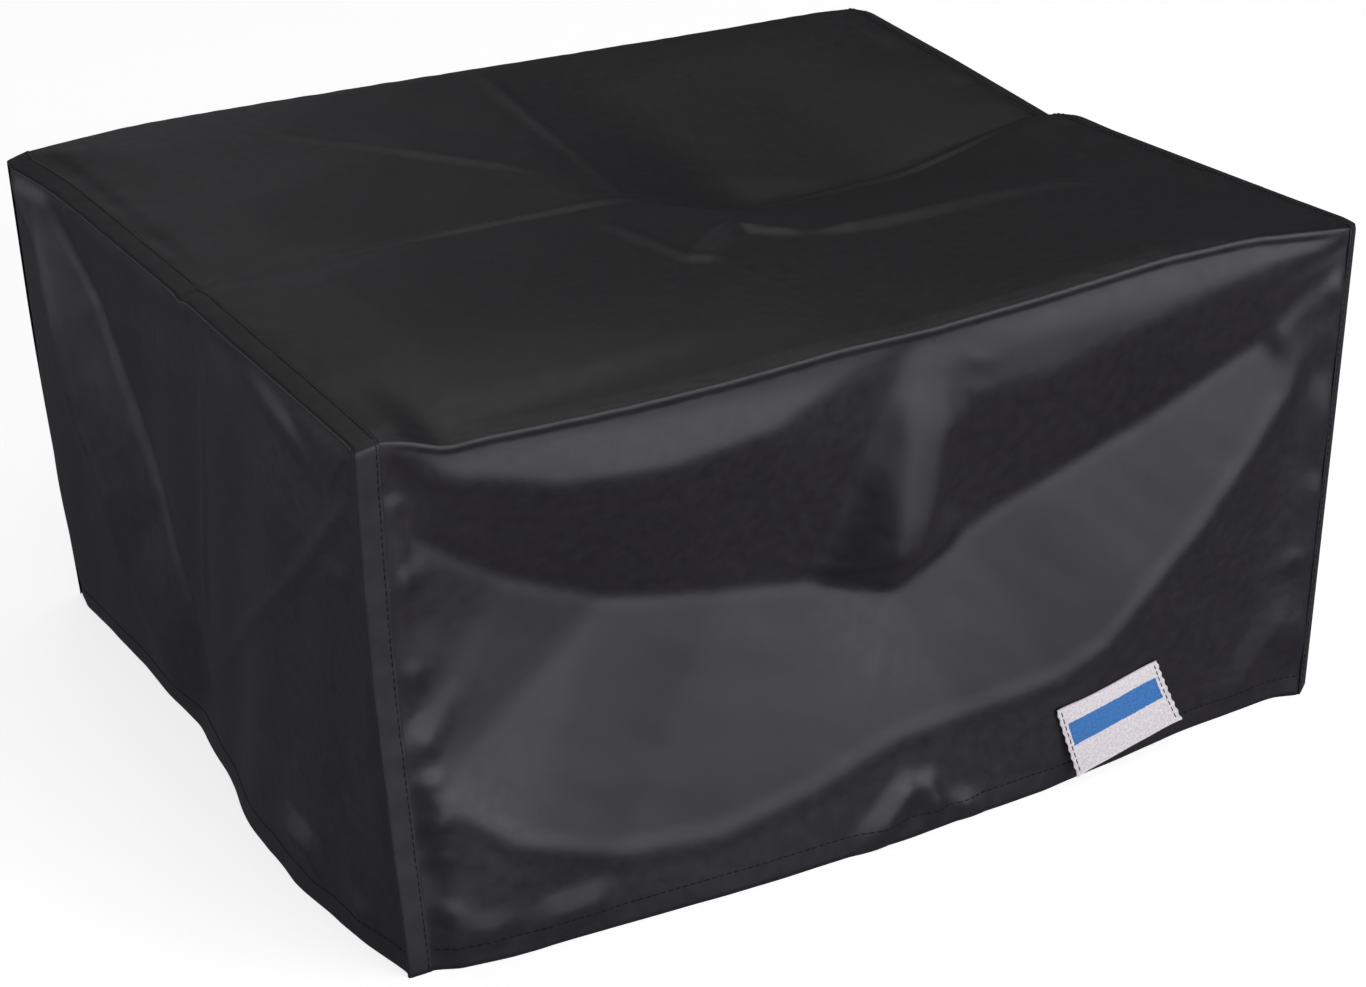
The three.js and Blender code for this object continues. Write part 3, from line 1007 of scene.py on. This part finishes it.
def build_hems(wrap, gussets):
    """The layer turned up inside each wall's bottom edge: its band, the band's length and the wall."""
    heights = steps(HEM_START, HEM_HEIGHT, HEM_GRID)
    bands = []
    reach = HALF_WIDTH - HEM_END_GAP
    for word, runs in (("front", heights), ("back", WRAP_LENGTH - heights)):
        run, x = np.meshgrid(runs, steps(-reach, reach, GRID), indexing="ij")
        points = wrap_surface(x, run, HEM_LIFT)
        band = build_hem_band(word, points, np.stack([x, run], axis=-1), flip=word == "front")
        bands.append((band, WIDTH, wrap))
    reach = HALF_DEPTH - GUSSET_HEM_END_GAP
    for word, side in SIDES:
        z, y = np.meshgrid(heights, steps(-reach, reach, GRID), indexing="ij")
        points = gusset_surface(side, y, z, HEM_LIFT)
        band = build_hem_band(word, points, np.stack([y, z], axis=-1), flip=side > 0)
        bands.append((band, DEPTH, gussets[word]))
    return bands


# ---- label

LABEL_WIDTH = 57 * MM
LABEL_HEIGHT = 34 * MM
LABEL_X = 110 * MM
LABEL_Z = 24.5 * MM
LABEL_TOP_TURN = math.radians(7)  # it is sewn on askew and pulled a little out of square
LABEL_SIDE_TURN = math.radians(17)
LABEL_FLARE = 5 * MM  # its lower edge stands off the wall
LABEL_SPLAY = 12 * MM  # and its lower right corner is pulled out
LABEL_LIFT = 0.9 * MM  # from the wall to the label's outside
LABEL_END_CURL = 0.8 * MM
LABEL_FRAY = 0.35 * MM  # the ragged ends' depth and length of wave
LABEL_FRAY_LENGTH = 4.3 * MM
LABEL_GRID = 1 * MM
LABEL_STITCH_INSET = 2 * MM  # from the label's end to its stitches
LABEL_STITCH_END_GAP = 1.5 * MM


def label_surface(across, up, lift=0.0):
    """Points of the label: across and up are on its own flat cloth, from its middle."""
    lower = np.clip(0.5 - up / LABEL_HEIGHT, 0, 1)
    x = LABEL_X + across * math.cos(LABEL_TOP_TURN) - up * math.sin(LABEL_SIDE_TURN)
    x = x + LABEL_SPLAY * lower * np.maximum(across, 0) / LABEL_WIDTH
    z = LABEL_Z + across * math.sin(LABEL_TOP_TURN) + up * math.cos(LABEL_SIDE_TURN)
    end_curl = LABEL_END_CURL * (np.abs(across) / (LABEL_WIDTH / 2)) ** 6
    out = LABEL_LIFT + LABEL_FLARE * lower ** 2 + end_curl
    return wrap_surface(x, np.maximum(z, 1 * MM), out + lift)


def build_label():
    half_width, half_height = LABEL_WIDTH / 2, LABEL_HEIGHT / 2
    up, across = np.meshgrid(steps(-half_height, half_height, LABEL_GRID),
                             steps(-half_width, half_width, LABEL_GRID), indexing="ij")
    frayed = LABEL_FRAY * np.sin(up * 2 * math.pi / LABEL_FRAY_LENGTH) * (np.abs(across) / half_width) ** 12
    sheet = grid_object("label_tag", label_surface(across + np.sign(across) * frayed, up),
                        np.stack([across, up], axis=-1), flip=True)
    thicken(sheet, LABEL_CLOTH)
    finish_piece(sheet, LABEL, ["label"])
    reach = half_height - LABEL_STITCH_END_GAP
    line_up = steps(-reach, reach, LABEL_GRID)
    for word, side in SIDES:
        line_across = np.full(line_up.shape, side * (half_width - LABEL_STITCH_INSET))
        line, out = surface_line(label_surface, line_across, line_up)
        build_stitches(f"label_{word}", line, out)
    return sheet


# ---- camera, floor and lights

CAMERA_AZIMUTH, CAMERA_ELEVATION, CAMERA_ROLL = (math.radians(v) for v in (-29.1, 24.69, -0.87))
CAMERA_DISTANCE = 1.389
CAMERA_TARGET = Vector((0.0068, -0.0038, 0.0762))
FOCAL_SHARE = 2.2172  # focal length over the picture's width
SENSOR = 36.0  # the picture's width on the camera's sensor, in millimetres


def build_camera():
    back = Vector((math.sin(CAMERA_AZIMUTH) * math.cos(CAMERA_ELEVATION),
                   -math.cos(CAMERA_AZIMUTH) * math.cos(CAMERA_ELEVATION),
                   math.sin(CAMERA_ELEVATION)))
    right = (-back).cross(Vector((0, 0, 1))).normalized()
    up = right.cross(-back)
    turned_right = right * math.cos(CAMERA_ROLL) + up * math.sin(CAMERA_ROLL)
    turned_up = up * math.cos(CAMERA_ROLL) - right * math.sin(CAMERA_ROLL)
    data = bpy.data.cameras.new("camera")
    data.sensor_width = SENSOR
    data.lens = FOCAL_SHARE * SENSOR
    camera = add_object("camera", data)
    turn = Matrix((turned_right, turned_up, back)).transposed()
    camera.matrix_world = Matrix.Translation(CAMERA_TARGET + back * CAMERA_DISTANCE) @ turn.to_4x4()
    bpy.context.scene.camera = camera


FLOOR_REACH = 30
FLOOR_GLOW = 0.75  # keeps the floor pale under lights that are set for black cloth


def build_floor():
    corners = [(x * FLOOR_REACH, y * FLOOR_REACH, 0) for x, y in ((-1, -1), (1, -1), (1, 1), (-1, 1))]
    floor = mesh_object("floor", corners, [(0, 1, 2, 3)])
    nodes = Nodes("floor_paint")
    grain = nodes.noise(nodes.object_place(), scale=40, detail=2)
    nodes.fill(nodes.shader, {
        "Base Color": nodes.ramp(grain, (0.3, (0.84, 0.84, 0.84)), (0.7, (0.86, 0.86, 0.86))),
        "Roughness": 0.9,
        "Specular IOR Level": 0.1,
        "Emission Color": (1, 1, 1, 1),
        "Emission Strength": FLOOR_GLOW,
    })
    floor.data.materials.append(nodes.material)
    floor.visible_glossy = False  # the satin cloth shows the lights, not the bright floor


LIGHTS = [  # name, place, the point it faces, (width, height), power in watts and colour
    ("key_softbox", (0.55, -2.05, 0.56), (0, -0.15, 0.12), (3.9, 1.1), 39, (0.955, 0.945, 1)),
    ("overhead_softbox", (0.1, -0.5, 2.3), (0, 0, 0), (2.0, 2.0), 7, (1, 1, 1)),
    ("back_softbox", (0.54, 1.15, 2.2), (0, 0, 0.2), (1.8, 0.6), 5.5, (1, 0.95, 0.91)),
    ("left_softbox", (-2.2, 1.4, 0.33), (0, 0, 0.12), (1.6, 0.62), 10, (0.97, 0.95, 1)),
    ("rear_softbox", (0.43, 2.45, 0.95), (-0.1, 0, 0.2), (0.9, 0.35), 0.6, (0.96, 0.94, 1)),
]
SURROUNDINGS = (0.95, 0.96, 1, 1)
SURROUNDINGS_STRENGTH = 0.05


def build_light(name, place, towards, size, power, colour):
    data = bpy.data.lights.new(name, "AREA")
    data.shape = "RECTANGLE"
    data.size, data.size_y = size
    data.energy = power
    data.color = colour
    light = add_object(name, data)
    light.location = place
    light.rotation_euler = (Vector(towards) - Vector(place)).to_track_quat("-Z", "Y").to_euler()


def build_lights():
    world = bpy.data.worlds.new("studio")
    world.use_nodes = True
    background = world.node_tree.nodes["Background"]
    background.inputs["Color"].default_value = SURROUNDINGS
    background.inputs["Strength"].default_value = SURROUNDINGS_STRENGTH
    bpy.context.scene.world = world
    bpy.context.scene.view_settings.view_transform = "Standard"
    for light in LIGHTS:
        build_light(*light)


# ---- putting it together

build_camera()
build_floor()
build_lights()
wrap = build_wrap()
gussets = {word: build_gusset(side, word) for word, side in SIDES}
for strip_word, strip_side in SIDES:
    for strip_part in STRIP_RUNS:
        build_strip(strip_side, strip_word, strip_part)
        build_strip_stitches(strip_side, strip_word, strip_part)
hem_bands = build_hems(wrap, gussets)
build_hem_stitches()
label = build_label()
